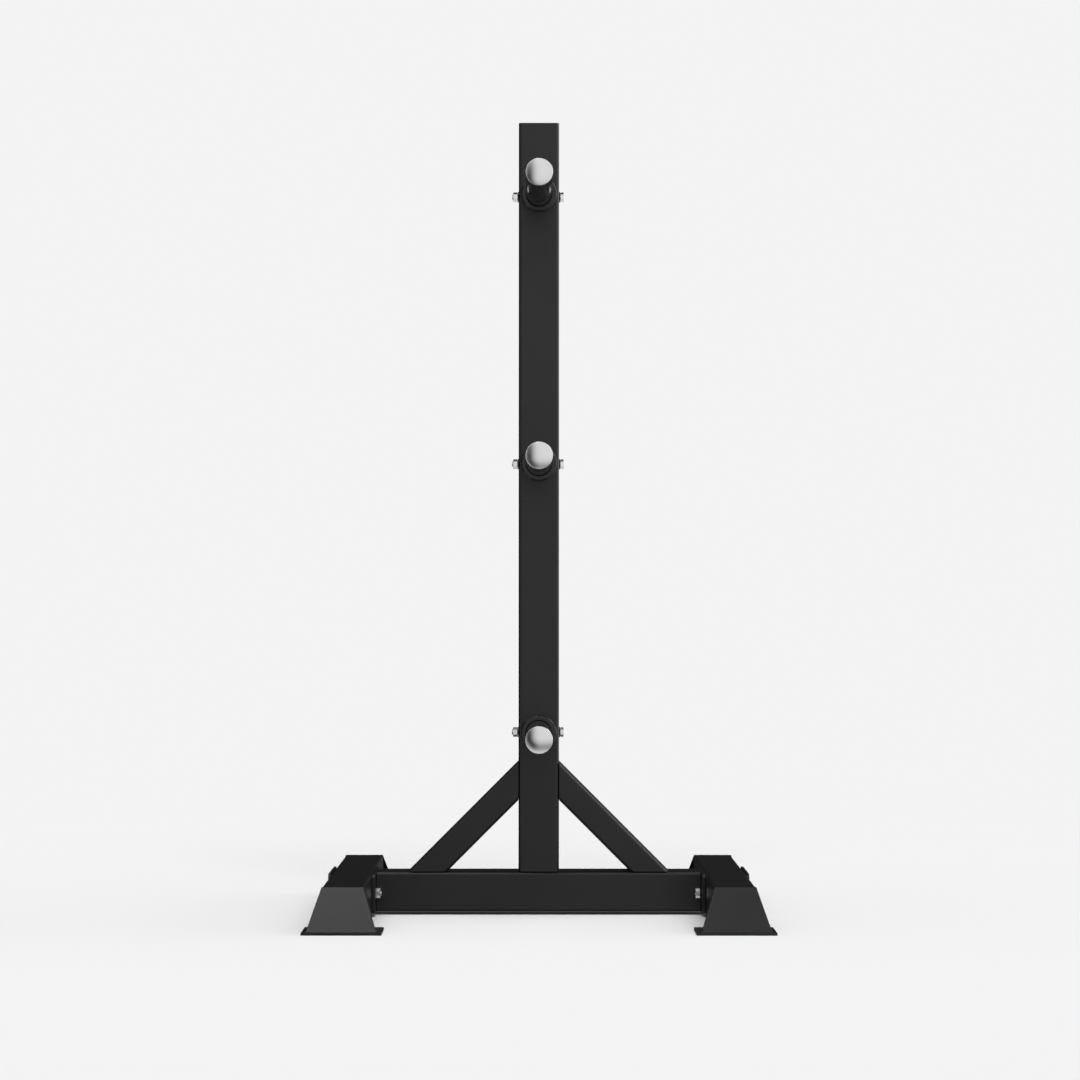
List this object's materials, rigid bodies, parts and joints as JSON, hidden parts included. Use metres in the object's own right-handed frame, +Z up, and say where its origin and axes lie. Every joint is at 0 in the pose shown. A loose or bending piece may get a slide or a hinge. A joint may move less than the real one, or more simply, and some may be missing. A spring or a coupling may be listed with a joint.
{
  "type": "weight plate tree",
  "caption": "Free-standing weight plate tree: a square column on an H-shaped bolted base with diagonal braces, and round plate pegs with silver end caps front and rear.",
  "frame": {"origin": "centre of the footprint on the floor, under the middle of the column", "axes": "+Z up along the column, -Y towards the front pegs, +X to the right foot; the feet and the pegs run along Y and the cross tube along X"},
  "size_m": [0.8412, 0.787, 1.4943],
  "materials": {
    "frame_black": "satin black powder coat",
    "peg_black": "smooth satin black powder coat",
    "cap_silver": "satin",
    "bolt_zinc": "zinc plated, satin",
    "washer_black": "black oxide"
  },
  "bodies": {
    "root": {"brace_left": "frame_black", "brace_right": "frame_black", "column": "frame_black", "column_top_cap": "frame_black", "cross_bolt_lower": "bolt_zinc", "cross_bolt_middle": "bolt_zinc", "cross_bolt_upper": "bolt_zinc", "cross_nut_lower": "bolt_zinc", "cross_nut_middle": "bolt_zinc", "cross_nut_upper": "bolt_zinc", "cross_tube": "frame_black", "cross_washer_lower_left": "washer_black", "cross_washer_lower_right": "washer_black", "cross_washer_middle_left": "washer_black", "cross_washer_middle_right": "washer_black", "cross_washer_upper_left": "washer_black", "cross_washer_upper_right": "washer_black", "end_plate_left_front": "frame_black", "end_plate_left_rear": "frame_black", "end_plate_right_front": "frame_black", "end_plate_right_rear": "frame_black", "floor_plate_left_front": "frame_black", "floor_plate_left_rear": "frame_black", "floor_plate_right_front": "frame_black", "floor_plate_right_rear": "frame_black", "foot_bolt_left_front": "bolt_zinc", "foot_bolt_left_rear": "bolt_zinc", "foot_bolt_right_front": "bolt_zinc", "foot_bolt_right_rear": "bolt_zinc", "foot_nut_left_front": "bolt_zinc", "foot_nut_left_rear": "bolt_zinc", "foot_nut_right_front": "bolt_zinc", "foot_nut_right_rear": "bolt_zinc", "foot_tube_left": "frame_black", "foot_tube_right": "frame_black", "foot_washer_right_front": "washer_black", "foot_washer_right_rear": "washer_black", "inner_flange_left": "frame_black", "inner_flange_right": "frame_black", "outer_plate_left": "frame_black", "outer_plate_right": "frame_black", "peg_cap_lower_front": "cap_silver", "peg_cap_lower_rear": "cap_silver", "peg_cap_middle_front": "cap_silver", "peg_cap_middle_rear": "cap_silver", "peg_cap_upper_front": "cap_silver", "peg_cap_upper_rear": "cap_silver", "peg_collar_lower_front": "peg_black", "peg_collar_lower_rear": "peg_black", "peg_collar_middle_front": "peg_black", "peg_collar_middle_rear": "peg_black", "peg_collar_upper_front": "peg_black", "peg_collar_upper_rear": "peg_black", "peg_tube_lower": "peg_black", "peg_tube_middle": "peg_black", "peg_tube_upper": "peg_black"}
  },
  "joints": []
}
